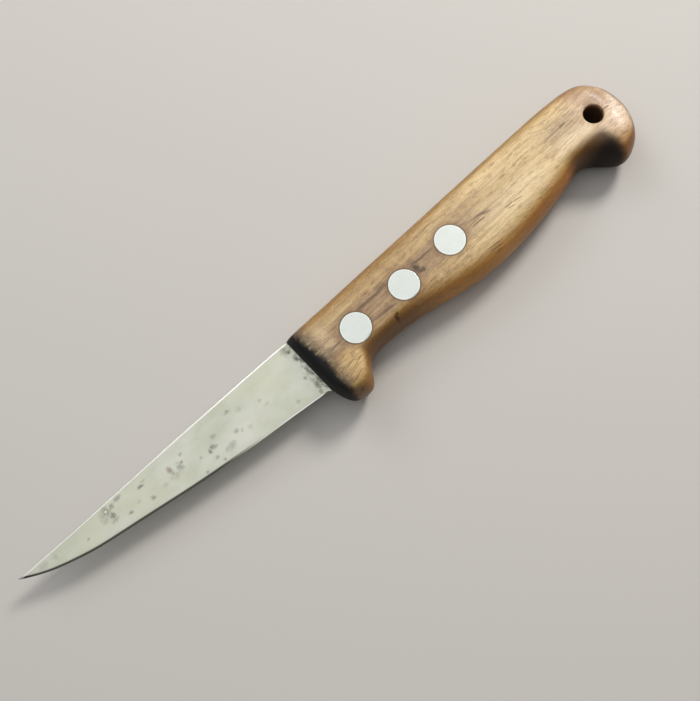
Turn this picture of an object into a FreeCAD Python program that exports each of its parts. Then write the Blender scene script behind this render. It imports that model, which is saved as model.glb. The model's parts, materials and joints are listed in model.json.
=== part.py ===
import FreeCAD, Part
import math
import os

# A boning knife lying on its side: point towards -X, butt towards +X, spine towards +Y.
# Millimetres. Lengths along X and Y are measured from the centre of the front rivet,
# and Z from the middle plane of the blade. The whole knife is moved to its origin at the end.

# Handle: one piece of wood with flat, parallel sides and rounded edges.
HANDLE_THICKNESS = 17.5
BACK_ROUND = 6.5          # how far the rounding reaches across a side from the back edge
EDGE_HALF_DEPTH = 8.9     # half the thickness before the sides are planed flat
FRONT_FACE_HALF = 3.6     # half width of the flat left on the front end
FRONT_ROUND = 3.6         # how far the front rounding reaches back
BUTT_FACE_HALF = 1.7
BUTT_ROUND = 9.5
ROUND_SHARE = 0.85        # a rounding takes at most this share of half the handle's height
LANYARD_HOLE = (104.1, -1.95)
LANYARD_RADIUS = 3.3

# Stations along the handle: x, height of the back edge, height of the belly edge, and how far
# the belly's rounding reaches across a side.
HANDLE_STATIONS = (
    (-18.3, 13.6, -5.5, 4.5),
    (-17.9, 14.0, -8.7, 4.5),
    (-17.2, 14.2, -11.1, 5.0),
    (-16.2, 14.3, -13.6, 5.0),
    (-14.8, 14.3, -15.4, 5.0),
    (-12.5, 14.3, -16.3, 5.0),
    (-9.5, 14.2, -16.5, 5.0),
    (-7.2, 14.2, -15.8, 5.2),
    (-5.3, 14.2, -12.6, 4.8),
    (-3.2, 14.1, -9.6, 4.2),
    (0.0, 14.1, -8.2, 3.9),
    (5.0, 14.1, -7.9, 3.9),
    (20.0, 14.0, -9.5, 4.8),
    (30.0, 13.9, -12.2, 5.9),
    (40.0, 13.8, -14.4, 6.5),
    (50.0, 13.8, -15.2, 6.5),
    (60.0, 13.7, -15.0, 6.5),
    (75.0, 13.6, -13.5, 6.5),
    (86.0, 13.5, -11.2, 6.5),
    (91.0, 13.4, -10.2, 7.0),
    (94.5, 13.3, -11.3, 8.0),
    (97.5, 13.1, -14.0, 9.0),
    (100.5, 12.9, -17.3, 9.5),
    (103.0, 12.7, -19.2, 9.0),
    (106.0, 12.3, -18.9, 8.0),
    (109.0, 11.5, -17.5, 7.5),
    (111.5, 9.9, -15.8, 7.0),
    (114.2, 7.1, -12.4, 6.5),
    (116.1, 4.0, -8.4, 6.0),
    (117.1, 0.7, -4.6, 5.0),
)

# Blade and tang: one forging, full height where it enters the handle.
BLADE_THICKNESS = 2.5
POINT_THICKNESS = 0.9
EDGE_THICKNESS = 0.12
SHOULDER_THICKNESS = 0.5  # where the ground face meets the sharpened bevel
BEVEL_WIDTH = 1.6
BEVEL_SHARE = 0.4         # the bevel takes at most this share of the blade's height
TANG_BOTTOM = -6.2        # the slot is open along the back edge and closed along the belly
TANG_STRAIGHT_END = 42.0  # where the slot's floor starts to rise in the arc of the saw
SAW_RADIUS = 30.0
SAW_TURN = 80.0           # degrees of arc, past the back edge of the wood

# The heel runs out in a concave curve down the handle's front. The curve's points are measured
# back from the flare's rear and up from the cutting edge.
HEEL_FLARE_REAR = -16.4
HEEL_FLARE_ARC = ((-4.6, 0.6), (-1.9, -1.0), (-0.5, -4.6))
HEEL_FLARE_ROOT = 1.2     # how far up into the blade it starts
HEEL_FLARE_THICKNESS = 1.0

# Stations along the blade: x, height of the spine, height of the cutting edge.
BLADE_STATIONS = (
    (-17.6, 13.9, -6.9),
    (-21.0, 14.2, -6.7),
    (-30.0, 14.6, -5.5),
    (-45.0, 15.0, -3.7),
    (-60.0, 15.4, -1.5),
    (-75.0, 15.7, 1.1),
    (-90.0, 15.9, 4.0),
    (-102.0, 16.1, 6.3),
    (-112.0, 16.3, 9.1),
    (-119.0, 16.5, 11.7),
    (-124.5, 16.6, 14.5),
    (-127.9, 16.7, 16.5),
)

# Rivets: each is a hollow half driven onto a solid half, with flush heads.
RIVETS = (("front", 0.0, 0.0), ("middle", 20.35, -0.44), ("rear", 40.9, 0.0))
HEAD_RADIUS = 5.0
HEAD_DEPTH = 2.2
TUBE_RADIUS = 3.0
SHANK_RADIUS = 2.0
TUBE_END_GAP = 0.6        # from the end of the hollow half to the head of the solid half
SHANK_END_GAP = 1.5       # from the end of the solid half to the bottom of the hollow half

HALF = HANDLE_THICKNESS / 2
FRONT = HANDLE_STATIONS[0][0]
BUTT = HANDLE_STATIONS[-1][0]
POINT = BLADE_STATIONS[-1][0]
FAR = 200.0               # larger than any part, for cutting tools
PAST_FACE = 1.0           # how far the rivet pockets' tools stand past the handle's sides
TOLERANCE = 0.001
POLE_SWELL = 3 / (2 + math.cos(math.radians(30)))   # poles stand off the curve by this factor


def vec(x, y, z):
    return FreeCAD.Vector(x, y, z)


def handle_half_depth(x):
    """Half the thickness of the rounded handle at x, falling off towards both ends."""
    into_front = min(1.0, (x - FRONT) / FRONT_ROUND)
    into_butt = min(1.0, (BUTT - x) / BUTT_ROUND)
    front = FRONT_FACE_HALF + (EDGE_HALF_DEPTH - FRONT_FACE_HALF) * math.sqrt(1 - (1 - into_front) ** 2)
    butt = BUTT_FACE_HALF + (EDGE_HALF_DEPTH - BUTT_FACE_HALF) * math.sqrt(1 - (1 - into_butt) ** 2)
    return min(front, butt)


def rounded_edge(y_centre, reach, depth):
    """Poles round one edge of a section, from one side to the other: a flattened half ellipse."""
    poles = []
    for step in range(-3, 4):
        angle = math.radians(30 * step)
        y = y_centre + POLE_SWELL * reach * math.cos(angle)
        z = depth * max(-1.0, min(1.0, POLE_SWELL * math.sin(angle)))
        poles.append((y, z))
    return poles


def handle_section(x, y_back, y_belly, belly_round):
    """Poles of one closed section of the handle, counted round from the back edge."""
    depth = handle_half_depth(x)
    half_height = (y_back - y_belly) / 2
    back_reach = min(BACK_ROUND, ROUND_SHARE * half_height)
    belly_reach = min(belly_round, ROUND_SHARE * half_height)
    back = rounded_edge(y_back - back_reach, back_reach, depth)
    belly = rounded_edge(y_belly + belly_reach, -belly_reach, depth)[::-1]
    poles = back
    for share in (1 / 3, 2 / 3):
        poles.append((back[-1][0] + (belly[0][0] - back[-1][0]) * share, depth))
    poles = poles + belly
    for share in (2 / 3, 1 / 3):
        poles.append((back[0][0] + (belly[-1][0] - back[0][0]) * share, -depth))
    return [vec(x, y, z) for y, z in poles]


def handle_skin(sections):
    """A smooth surface, open at its two ends, with the sections as its poles."""
    lengthwise = len(sections)
    around = len(sections[0])
    skin = Part.BSplineSurface()
    skin.buildFromPolesMultsKnots(
        sections,
        [4] + [1] * (lengthwise - 4) + [4],
        [1] * (around + 1),
        list(range(lengthwise - 2)),
        list(range(around + 1)),
        False,
        True,
        3,
        3,
    )
    return skin.toShape()


def handle_body():
    """The outer form of the handle, before the slot and the holes."""
    skin = handle_skin([handle_section(*station) for station in HANDLE_STATIONS])
    ends = [edge for edge in skin.Edges if edge.BoundBox.XLength < TOLERANCE]
    caps = [Part.Face(Part.Wire(edge)) for edge in ends]
    shell = Part.Shell([skin] + caps)
    shell.sewShape()
    rounded = Part.Solid(shell)
    slab = Part.makeBox(2 * FAR, 2 * FAR, HANDLE_THICKNESS, vec(-FAR, -FAR, -HALF))
    return rounded.common(slab)


def blade_section(x, y_spine, y_edge):
    along = (x - FRONT) / (POINT - FRONT)
    spine = (BLADE_THICKNESS + (POINT_THICKNESS - BLADE_THICKNESS) * along) / 2
    bevel = min(BEVEL_WIDTH, BEVEL_SHARE * (y_spine - y_edge))
    shoulder = SHOULDER_THICKNESS / 2
    edge = EDGE_THICKNESS / 2
    corners = [
        vec(x, y_spine, spine),
        vec(x, y_edge + bevel, shoulder),
        vec(x, y_edge, edge),
        vec(x, y_edge, -edge),
        vec(x, y_edge + bevel, -shoulder),
        vec(x, y_spine, -spine),
    ]
    return Part.makePolygon(corners + corners[:1])


def plate(outline, thickness):
    """A flat plate centred on the blade's middle plane."""
    face = Part.Face(outline)
    solid = face.extrude(vec(0, 0, thickness))
    solid.translate(vec(0, 0, -thickness / 2))
    return solid


def tang_plate():
    """The slot's shape: open at the front and the back edge, ending in the saw's arc."""
    def on_saw(degrees):
        turn = math.radians(degrees)
        x = TANG_STRAIGHT_END + SAW_RADIUS * math.sin(turn)
        return vec(x, TANG_BOTTOM + SAW_RADIUS * (1 - math.cos(turn)), 0)

    end = on_saw(SAW_TURN)
    arc = Part.Arc(on_saw(0), on_saw(SAW_TURN / 2), end).toShape()
    rest = Part.makePolygon([
        end,
        vec(end.x, FAR, 0),
        vec(-FAR, FAR, 0),
        vec(-FAR, TANG_BOTTOM, 0),
        on_saw(0),
    ])
    return plate(Part.Wire([arc] + rest.Edges), BLADE_THICKNESS)


def heel_flare():
    """Concave steel run-out under the heel, let into the front of the handle."""
    y_heel = BLADE_STATIONS[1][2]
    start, middle, finish = [vec(HEEL_FLARE_REAR + x, y_heel + y, 0) for x, y in HEEL_FLARE_ARC]
    arc = Part.Arc(start, middle, finish).toShape()
    rest = Part.makePolygon([
        finish,
        vec(HEEL_FLARE_REAR, finish.y, 0),
        vec(HEEL_FLARE_REAR, y_heel + HEEL_FLARE_ROOT, 0),
        start,
    ])
    return plate(Part.Wire([arc] + rest.Edges), HEEL_FLARE_THICKNESS)


def rivet_axis(x, y, radius, z_from, z_to):
    return Part.makeCylinder(radius, z_to - z_from, vec(x, y, z_from))


def rivet_halves(x, y, body):
    """The hollow half has its head on the +Z side and the solid half on the -Z side."""
    tube_end = -HALF + HEAD_DEPTH + TUBE_END_GAP
    shank_end = HALF - HEAD_DEPTH - SHANK_END_GAP
    hollow = rivet_axis(x, y, HEAD_RADIUS, HALF - HEAD_DEPTH, HALF)
    hollow = hollow.fuse(rivet_axis(x, y, TUBE_RADIUS, tube_end, HALF - HEAD_DEPTH))
    hollow = hollow.cut(rivet_axis(x, y, SHANK_RADIUS, tube_end, HALF - HEAD_DEPTH))
    solid = rivet_axis(x, y, HEAD_RADIUS, -HALF, -HALF + HEAD_DEPTH)
    solid = solid.fuse(rivet_axis(x, y, SHANK_RADIUS, -HALF + HEAD_DEPTH, shank_end))
    return hollow.common(body), solid.common(body)


def rivet_hole(x, y):
    hole = rivet_axis(x, y, TUBE_RADIUS, -HALF, HALF)
    hole = hole.fuse(rivet_axis(x, y, HEAD_RADIUS, HALF - HEAD_DEPTH, HALF + PAST_FACE))
    return hole.fuse(rivet_axis(x, y, HEAD_RADIUS, -HALF - PAST_FACE, -HALF + HEAD_DEPTH))


def handle_piece(body, steel):
    """The wood, with the steel's slot, the rivet holes and the lanyard hole."""
    wood = body.cut(steel)
    for _, x, y in RIVETS:
        wood = wood.cut(rivet_hole(x, y))
    return wood.cut(rivet_axis(*LANYARD_HOLE, LANYARD_RADIUS, -FAR, FAR))


def steel_form(body):
    """The blade and its tang, which fills the slot flush with the wood's back edge."""
    sections = [blade_section(*station) for station in BLADE_STATIONS]
    blade = Part.makeLoft(sections, True, False)
    tang = tang_plate().common(body)
    return blade.fuse(tang).fuse(heel_flare())


def blade_piece(steel):
    """The steel, with a hole for each rivet."""
    for _, x, y in RIVETS:
        steel = steel.cut(rivet_axis(x, y, TUBE_RADIUS, -FAR, FAR))
    return steel.removeSplitter()


def build():
    body = handle_body()
    steel = steel_form(body)
    pieces = {"handle": handle_piece(body, steel), "blade": blade_piece(steel)}
    for name, x, y in RIVETS:
        hollow, solid = rivet_halves(x, y, body)
        pieces["rivet_" + name + "_hollow_half"] = hollow
        pieces["rivet_" + name + "_solid_half"] = solid
    return pieces


def to_origin(pieces):
    """Origin at the centre of the footprint, on the surface that the knife lies on."""
    box = Part.makeCompound(list(pieces.values())).optimalBoundingBox()
    shift = vec(-box.Center.x, -box.Center.y, -box.ZMin)
    for shape in pieces.values():
        shape.translate(shift)


def export(pieces):
    os.makedirs("parts", exist_ok=True)
    for name, shape in pieces.items():
        shape.exportStep("parts/" + name + ".step")
        size = shape.BoundBox
        print(name, len(shape.Solids), shape.isValid(), round(shape.Volume), size)


knife = build()
to_origin(knife)
export(knife)
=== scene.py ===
import bmesh
import bpy
import json
import math
import numpy as np
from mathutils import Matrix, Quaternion, Vector, noise
from mathutils.bvhtree import BVHTree


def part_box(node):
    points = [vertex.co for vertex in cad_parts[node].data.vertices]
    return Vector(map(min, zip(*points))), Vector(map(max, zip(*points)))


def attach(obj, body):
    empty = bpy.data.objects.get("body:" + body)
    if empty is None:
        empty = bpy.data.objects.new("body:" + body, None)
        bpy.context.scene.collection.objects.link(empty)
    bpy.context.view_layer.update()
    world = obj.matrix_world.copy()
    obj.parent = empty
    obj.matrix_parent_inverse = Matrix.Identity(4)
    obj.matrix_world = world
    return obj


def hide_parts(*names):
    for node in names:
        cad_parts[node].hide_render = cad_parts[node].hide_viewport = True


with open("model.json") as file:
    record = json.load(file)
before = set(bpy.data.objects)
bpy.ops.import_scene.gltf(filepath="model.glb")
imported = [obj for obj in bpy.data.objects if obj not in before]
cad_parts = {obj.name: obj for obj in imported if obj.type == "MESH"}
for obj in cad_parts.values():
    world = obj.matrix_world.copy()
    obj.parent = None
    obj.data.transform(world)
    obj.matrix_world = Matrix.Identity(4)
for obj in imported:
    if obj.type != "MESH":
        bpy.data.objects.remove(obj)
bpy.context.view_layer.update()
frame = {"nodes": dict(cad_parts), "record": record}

MM = 0.001
BODY = "root"
RIVET_NAMES = ("front", "middle", "rear")
RIVET_NODES = ["rivet_" + n + "_" + h + "_half" for n in RIVET_NAMES for h in ("hollow", "solid")]

# ---------------------------------------------------------------- places, read from the frame

BLADE_LOW, BLADE_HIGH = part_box("blade")
HANDLE_LOW, HANDLE_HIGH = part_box("handle")
MID_Z = (HANDLE_LOW.z + HANDLE_HIGH.z) / 2
FRONT_X = HANDLE_LOW.x
BUTT_X = HANDLE_HIGH.x
MOUNTS = {mount["name"]: mount for mount in frame["record"]["mounts"]}
LANYARD = Vector(MOUNTS["lanyard_hole"]["pos_m"])
LANYARD_RADIUS = 3.3 * MM


def rivet_centre(name):
    low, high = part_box("rivet_" + name + "_solid_half")
    return (low + high) / 2


RIVETS = [rivet_centre(name) for name in RIVET_NAMES]
DATUM = RIVETS[0]         # the front rivet, from which marks on the knife are placed
RIVET_RADIUS = 5.0 * MM

# ---------------------------------------------------------------- sizes of the finer detail

# Handle
RAYS = 288                # directions in which each ring is measured
RING_POINTS = 136         # points round each ring
RING_SPACING = 0.36 * MM
FRONT_ROUND = 4 * MM      # lengths at the ends in which the rings lie closer
BUTT_ROUND = 10 * MM
FRONT_RINGS = 26
BUTT_RINGS = 44
FRONT_ZONE = 2.2 * MM     # where the heel of the blade is let into the wood
RAY_START = 40 * MM       # well outside the handle
SIDE_FACING = 0.05        # a ray's least share of z with which it can meet a flat side
GAP_TURN = 1.3            # radians from the back or the belly within which the slot's gap lies
GAP_MARGIN = 0.2          # radians on both sides of a gap that its bridge is fitted to
END_KEPT = 0.8 * MM       # smoothing starts this far from the ends
END_FREE = 2.5 * MM       # and is full from here on
SMOOTHING_ROUNDS = 14
SMOOTHING_STEPS = (0.5, -0.53)
SHARP_ANGLE = math.radians(38)

# How far the wood is worn in, in millimetres: the mean, and its broad and fine variation
WEAR_MEAN = 0.05
WEAR_BROAD = 0.045
WEAR_FINE = 0.012

# Holes in the wood
POCKET_DEPTH = 2.25 * MM
JOINT_GAP = 0.05 * MM     # fine dark line between the wood and the metal
RIM_WEAR = 0.12 * MM      # chamfers of the rivets and of their pockets
MOUTH_WEAR = 0.45 * MM    # the lanyard hole's mouths are worn to this radius
PAST_FACE = 1.0 * MM      # how far the cutting shapes stand past the handle's sides
LATHE_SIDES = 96
SLOT_RINGS = 90
SLOT_FLOOR_X = FRONT_X + 5 * MM   # a place where the slot's floor is straight

# Steel
TANG_HALF = 1.25 * MM
SPINE_HALF = 1.25 * MM
POINT_HALF = 0.45 * MM
SHOULDER_HALF = 0.25 * MM
EDGE_HALF = 0.06 * MM
BEVEL_WIDTH = 1.6 * MM
BEVEL_SHARE = 0.4         # the bevel takes at most this share of the blade's height
SPINE_ROUND = 0.5 * MM
ROUND_SHARE = 0.2         # the spine's rounding takes at most this share of the height
ROUND_DEPTH_SHARE = 0.8   # and this share of half the spine's thickness
FACE_POINTS = 16          # across one face of the blade
END_SLIVER = 0.02 * MM    # left off both ends of the steel, which have no height

# Dents in the upper side, in millimetres: x and y from the front rivet, half lengths along x
# and y, depth.
DENTS = (
    (11.3, -6.3, 0.55, 1.15, 0.42),
    (12.2, -5.6, 0.45, 0.5, 0.25),
    (26.7, 0.6, 0.9, 1.5, 0.10),
    (-8.2, -11.2, 1.6, 0.5, 0.06),
    (103.4, 2.6, 2.2, 0.7, 0.08),
)


# ---------------------------------------------------------------- mesh helpers

def link(name, data):
    """An object with this mesh, light or camera, in the scene."""
    obj = bpy.data.objects.new(name, data)
    bpy.context.scene.collection.objects.link(obj)
    return obj


def baked(obj):
    """The object's mesh with its modifiers applied."""
    graph = bpy.context.evaluated_depsgraph_get()
    return bpy.data.meshes.new_from_object(obj.evaluated_get(graph))


def points_of(mesh):
    co = np.zeros(len(mesh.vertices) * 3)
    mesh.vertices.foreach_get("co", co)
    return co.reshape(-1, 3)


def set_points(mesh, co):
    mesh.vertices.foreach_set("co", co.ravel())
    mesh.update()


def edges_of(mesh):
    pairs = np.zeros(len(mesh.edges) * 2, np.int64)
    mesh.edges.foreach_get("vertices", pairs)
    return pairs.reshape(-1, 2)


def smooth_points(co, pairs, weight, rounds):
    """Taubin smoothing, which keeps the volume. weight is each point's share of the move."""
    count = np.bincount(pairs.ravel(), minlength=len(co)).clip(1)
    for _ in range(rounds):
        for step in SMOOTHING_STEPS:
            mean = np.zeros_like(co)
            for axis in range(3):
                mean[:, axis] = np.bincount(pairs[:, 0], co[pairs[:, 1], axis], len(co))
                mean[:, axis] += np.bincount(pairs[:, 1], co[pairs[:, 0], axis], len(co))
            co = co + (mean / count[:, None] - co) * step * weight[:, None]
    return co


def ramp(x, low, high):
    """0 below low, 1 above high, smooth between."""
    t = np.clip((x - low) / (high - low), 0, 1)
    return t * t * (3 - 2 * t)


# ---------------------------------------------------------------- blade and tang

def cad_outline(node, stations):
    """Lowest and highest y of the CAD node at each x."""
    mesh = frame["nodes"][node].data
    co = points_of(mesh)
    a, b = co[edges_of(mesh)].transpose(1, 0, 2)
    outline = []
    for x in stations:
        crossing = (a[:, 0] - x) * (b[:, 0] - x) <= 0
        crossing &= np.abs(a[:, 0] - b[:, 0]) > 1e-9
        share = (x - a[crossing, 0]) / (b[crossing, 0] - a[crossing, 0])
        y = a[crossing, 1] + share * (b[crossing, 1] - a[crossing, 1])
        outline.append((y.min(), y.max()))
    return np.array(outline)


def blade_stations():
    """Places along the steel of its rings, closer where its outline turns."""
    low = BLADE_LOW.x + END_SLIVER
    high = BLADE_HIGH.x - END_SLIVER
    blade_from = low + 3 * MM
    heel_from = FRONT_X - 4 * MM
    tang_from = FRONT_X + 6 * MM
    arc_from = high - 9 * MM
    tip_from = high - 0.6 * MM
    spans = (
        (low, blade_from, 16),
        (blade_from, heel_from, 190),
        (heel_from, tang_from, 70),
        (tang_from, arc_from, 90),
        (arc_from, tip_from, 30),
        (tip_from, high, 8),
    )
    parts = [np.linspace(a, b, n, endpoint=False) for a, b, n in spans]
    return np.append(np.concatenate(parts), high)


def blade_half_depth(x, y, y_edge, y_spine):
    """Half the thickness of the steel at a point of its outline."""
    if x > FRONT_X:
        return TANG_HALF
    along = (x - FRONT_X) / (BLADE_LOW.x - FRONT_X)
    spine = SPINE_HALF + (POINT_HALF - SPINE_HALF) * along
    height = y_spine - y_edge
    bevel = min(BEVEL_WIDTH, BEVEL_SHARE * height)
    if y < y_edge + bevel:
        return EDGE_HALF + (SHOULDER_HALF - EDGE_HALF) * (y - y_edge) / bevel
    face = (y - y_edge - bevel) / (height - bevel)
    depth = SHOULDER_HALF + (spine - SHOULDER_HALF) * face
    from_spine = y_spine - y
    radius = min(SPINE_ROUND, spine * ROUND_DEPTH_SHARE, ROUND_SHARE * height)
    if from_spine < radius:
        depth -= radius - math.sqrt(max(radius ** 2 - (radius - from_spine) ** 2, 0))
    return depth


def ring_heights(y_edge, y_spine):
    """Heights of a ring's points from the spine down, closer where the form turns."""
    height = y_spine - y_edge
    bevel = min(BEVEL_WIDTH, BEVEL_SHARE * height)
    turn = min(SPINE_ROUND, ROUND_SHARE * height)
    spine = [turn * t for t in (0.0, 0.04, 0.12, 0.25, 0.42, 0.62, 0.82, 1.0, 1.15)]
    edge = [bevel * t for t in (1.04, 1.0, 0.96, 0.8, 0.6, 0.4, 0.25, 0.12, 0.05, 0.0)]
    face = np.linspace(y_spine - turn * 1.3, y_edge + bevel * 1.1, FACE_POINTS)
    return [y_spine - d for d in spine] + face.tolist() + [y_edge + d for d in edge]


def steel_blade():
    """Blade and tang as one skin, with each point's distance from the edge and the spine."""
    stations = blade_stations()
    outline = cad_outline("blade", stations)
    rings = []
    for x, (y_edge, y_spine) in zip(stations, outline):
        ys = ring_heights(y_edge, y_spine)
        half = [(y, blade_half_depth(x, y, y_edge, y_spine)) for y in ys]
        ring = [(x, y, MID_Z + z) for y, z in half]
        ring += [(x, y, MID_Z - z) for y, z in reversed(half)]
        rings.append(ring)
    steel = bmesh.new()
    verts = [[steel.verts.new(p) for p in ring] for ring in rings]
    size = len(verts[0])
    for a, b in zip(verts, verts[1:]):
        for i in range(size):
            j = (i + 1) % size
            steel.faces.new((a[i], b[i], b[j], a[j]))
    steel.faces.new(verts[0])
    steel.faces.new(list(reversed(verts[-1])))
    bmesh.ops.recalc_face_normals(steel, faces=steel.faces)
    mesh = bpy.data.meshes.new("steel_blade")
    steel.to_mesh(mesh)
    steel.free()
    across = [((y - y_edge) / MM, (y_spine - y) / MM)
              for ring, (y_edge, y_spine) in zip(rings, outline) for _, y, _ in ring]
    for column, name in enumerate(("from_edge", "from_spine")):
        layer = mesh.attributes.new(name, "FLOAT", "POINT")
        layer.data.foreach_set("value", [pair[column] for pair in across])
    mesh.shade_smooth()
    return link("steel_blade", mesh)


# ---------------------------------------------------------------- handle

def tree_of(nodes):
    """One tree of the CAD nodes' faces, for measuring the outside of the handle."""
    points = []
    faces = []
    for node in nodes:
        mesh = frame["nodes"][node].data
        start = len(points)
        points += [v.co.copy() for v in mesh.vertices]
        faces += [[start + i for i in face.vertices] for face in mesh.polygons]
    return BVHTree.FromPolygons(points, faces)


def handle_stations():
    """Places along the handle of its rings, closer towards both ends."""
    low = HANDLE_LOW.x + 0.01 * MM
    high = HANDLE_HIGH.x - 0.01 * MM
    quarter = math.pi / 2
    front = low + FRONT_ROUND * (1 - np.cos(np.linspace(0, quarter, FRONT_RINGS, endpoint=False)))
    middle = np.arange(low + FRONT_ROUND, high - BUTT_ROUND, RING_SPACING)
    butt = high - BUTT_ROUND * (1 - np.sin(np.linspace(0, quarter, BUTT_RINGS)))
    return np.concatenate([front, middle, butt])


def measured_radii(tree, centre, angles, near_front):
    """Distance from the centre of a ring to the outside of the handle, in each direction."""
    half = (HANDLE_HIGH.z - HANDLE_LOW.z) / 2
    hole = LANYARD_RADIUS + 0.1 * MM
    slot = TANG_HALF + 0.15 * MM
    radii = np.zeros(len(angles))
    doubtful = np.zeros(len(angles), bool)
    for i, angle in enumerate(angles):
        out = Vector((0, math.cos(angle), math.sin(angle)))
        hit = tree.ray_cast(centre + out * RAY_START, -out)[0]
        if abs(out.z) > SIDE_FACING:
            to_side = centre + out * (half / abs(out.z))
            if math.hypot(to_side.x - LANYARD.x, to_side.y - LANYARD.y) < hole:
                hit = to_side
        radii[i] = (hit - centre).length if hit else 0.0
        doubtful[i] = not hit or (near_front and abs(hit.z - MID_Z) < slot)
    return bridged(angles, radii, doubtful)


def bridged(angles, radii, doubtful):
    """The radii with the doubtful ones replaced by a parabola through those on both sides."""
    if not doubtful.any():
        return radii
    radii = radii.copy()
    for pole in (0.0, math.pi):
        turn = (angles - pole + math.pi) % (2 * math.pi) - math.pi
        lost = doubtful & (np.abs(turn) < GAP_TURN)
        if lost.any():
            reach = np.abs(turn[lost]).max()
            known = ~doubtful & (np.abs(turn) < reach + GAP_MARGIN)
            curve = np.polyfit(turn[known], radii[known], 2)
            radii[lost] = np.polyval(curve, turn[lost])
    return radii


def even_ring(ring):
    """The closed ring with its points evenly spaced, from the same start."""
    closed = np.vstack([ring, ring[:1]])
    gone = np.concatenate([[0], np.cumsum(np.linalg.norm(np.diff(closed, axis=0), axis=1))])
    wanted = np.linspace(0, gone[-1], RING_POINTS, endpoint=False)
    return np.stack([np.interp(wanted, gone, closed[:, k]) for k in range(3)], axis=1)


def handle_rings():
    """Rings round the handle as if it had no slot and no holes."""
    wood = tree_of(["handle"] + RIVET_NODES)
    whole = tree_of(["handle", "blade"] + RIVET_NODES)
    stations = handle_stations()
    angles = np.linspace(0, 2 * math.pi, RAYS, endpoint=False)
    rings = []
    for x, (y_low, y_high) in zip(stations, cad_outline("handle", stations)):
        near_front = x < FRONT_X + FRONT_ZONE
        centre = Vector((x, (y_low + y_high) / 2, MID_Z))
        radii = measured_radii(wood if near_front else whole, centre, angles, near_front)
        ring = np.stack([np.full(RAYS, x), centre.y + radii * np.cos(angles),
                         MID_Z + radii * np.sin(angles)], axis=1)
        rings.append(even_ring(ring))
    return np.array(rings)


def skin_mesh(name, rings):
    """A closed mesh through rings of points, with a cap at both ends."""
    count, size = rings.shape[:2]
    ids = np.arange(count * size).reshape(count, size)
    after = np.roll(ids, -1, axis=1)
    faces = np.stack([ids[:-1], after[:-1], after[1:], ids[1:]], axis=-1).reshape(-1, 4).tolist()
    faces += [ids[0][::-1].tolist(), ids[-1].tolist()]
    mesh = bpy.data.meshes.new(name)
    mesh.from_pydata(rings.reshape(-1, 3).tolist(), [], faces)
    skin = bmesh.new()
    skin.from_mesh(mesh)
    bmesh.ops.recalc_face_normals(skin, faces=skin.faces)
    skin.to_mesh(mesh)
    skin.free()
    return mesh


def worn(co, normals):
    """The surface taken in a little and unevenly, as use and scraping leave it."""
    taken = np.zeros(len(co))
    for i, point in enumerate(co):
        place = Vector((point - DATUM) / MM)
        broad = noise.noise(Vector((place.x * 0.09, place.y * 0.16, place.z * 0.16)))
        fine = noise.noise(Vector((place.x * 0.35, place.y * 0.8, place.z * 0.8 + 9)))
        taken[i] = WEAR_MEAN + WEAR_BROAD * broad + WEAR_FINE * fine
    x = (co[:, 0] - DATUM.x) / MM
    y = (co[:, 1] - DATUM.y) / MM
    above = co[:, 2] > MID_Z
    for at_x, at_y, half_x, half_y, depth in DENTS:
        away = ((x - at_x) / half_x) ** 2 + ((y - at_y) / half_y) ** 2
        taken += above * depth * np.exp(-away)
    return co - normals * taken[:, None] * MM


def lathe(name, centre, profile):
    """Rings of a solid of revolution about a vertical line: profile is (radius, height)."""
    turn = np.linspace(0, 2 * math.pi, LATHE_SIDES, endpoint=False)
    rings = [np.stack([centre.x + r * np.cos(turn), centre.y + r * np.sin(turn),
                       np.full(LATHE_SIDES, h)], axis=1) for r, h in profile]
    return skin_mesh(name, np.array(rings))


def pocket_profile(sign):
    """From the bottom of a rivet's pocket out past the face, with a worn chamfer at its mouth."""
    face = HANDLE_HIGH.z if sign > 0 else HANDLE_LOW.z
    radius = RIVET_RADIUS + JOINT_GAP
    return [
        (radius, face - sign * POCKET_DEPTH),
        (radius, face - sign * RIM_WEAR * 1.2),
        (radius + RIM_WEAR, face),
        (radius + RIM_WEAR * 2, face + sign * PAST_FACE),
    ]


def lanyard_profile():
    """A through hole whose two mouths are worn round."""
    lower = [(LANYARD_RADIUS + MOUTH_WEAR * 1.3, HANDLE_LOW.z - PAST_FACE)]
    for turn in np.linspace(0, math.pi / 2, 7):
        radius = LANYARD_RADIUS + MOUTH_WEAR * (1 - math.sin(turn))
        lower.append((radius, HANDLE_LOW.z + MOUTH_WEAR * (1 - math.cos(turn))))
    upper = [(r, 2 * MID_Z - h) for r, h in reversed(lower)]
    return lower + upper


def slot_rings():
    """The saw cut for the tang, open towards the back edge."""
    stations = np.linspace(FRONT_X - 0.5 * MM, BLADE_HIGH.x - 0.05 * MM, SLOT_RINGS)
    floor_y = cad_outline("blade", [SLOT_FLOOR_X])[0][0]
    half = TANG_HALF + JOINT_GAP / 2
    rings = []
    for x, (y_low, y_high) in zip(stations, cad_outline("blade", stations)):
        low = max(y_low, floor_y) - JOINT_GAP / 2
        high = y_high + 3 * MM
        rings.append([(x, low, MID_Z - half), (x, low, MID_Z + half),
                      (x, high, MID_Z + half), (x, high, MID_Z - half)])
    return np.array(rings)


def joined(name, meshes):
    """One mesh that holds all the meshes."""
    skin = bmesh.new()
    for mesh in meshes:
        skin.from_mesh(mesh)
    mesh = bpy.data.meshes.new(name)
    skin.to_mesh(mesh)
    skin.free()
    return mesh


def cut_up(mesh):
    """Splits a mesh's faces into triangles, none of which shares all its corners with another."""
    skin = bmesh.new()
    skin.from_mesh(mesh)
    bmesh.ops.triangulate(skin, faces=skin.faces)
    skin.to_mesh(mesh)
    skin.free()


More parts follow.
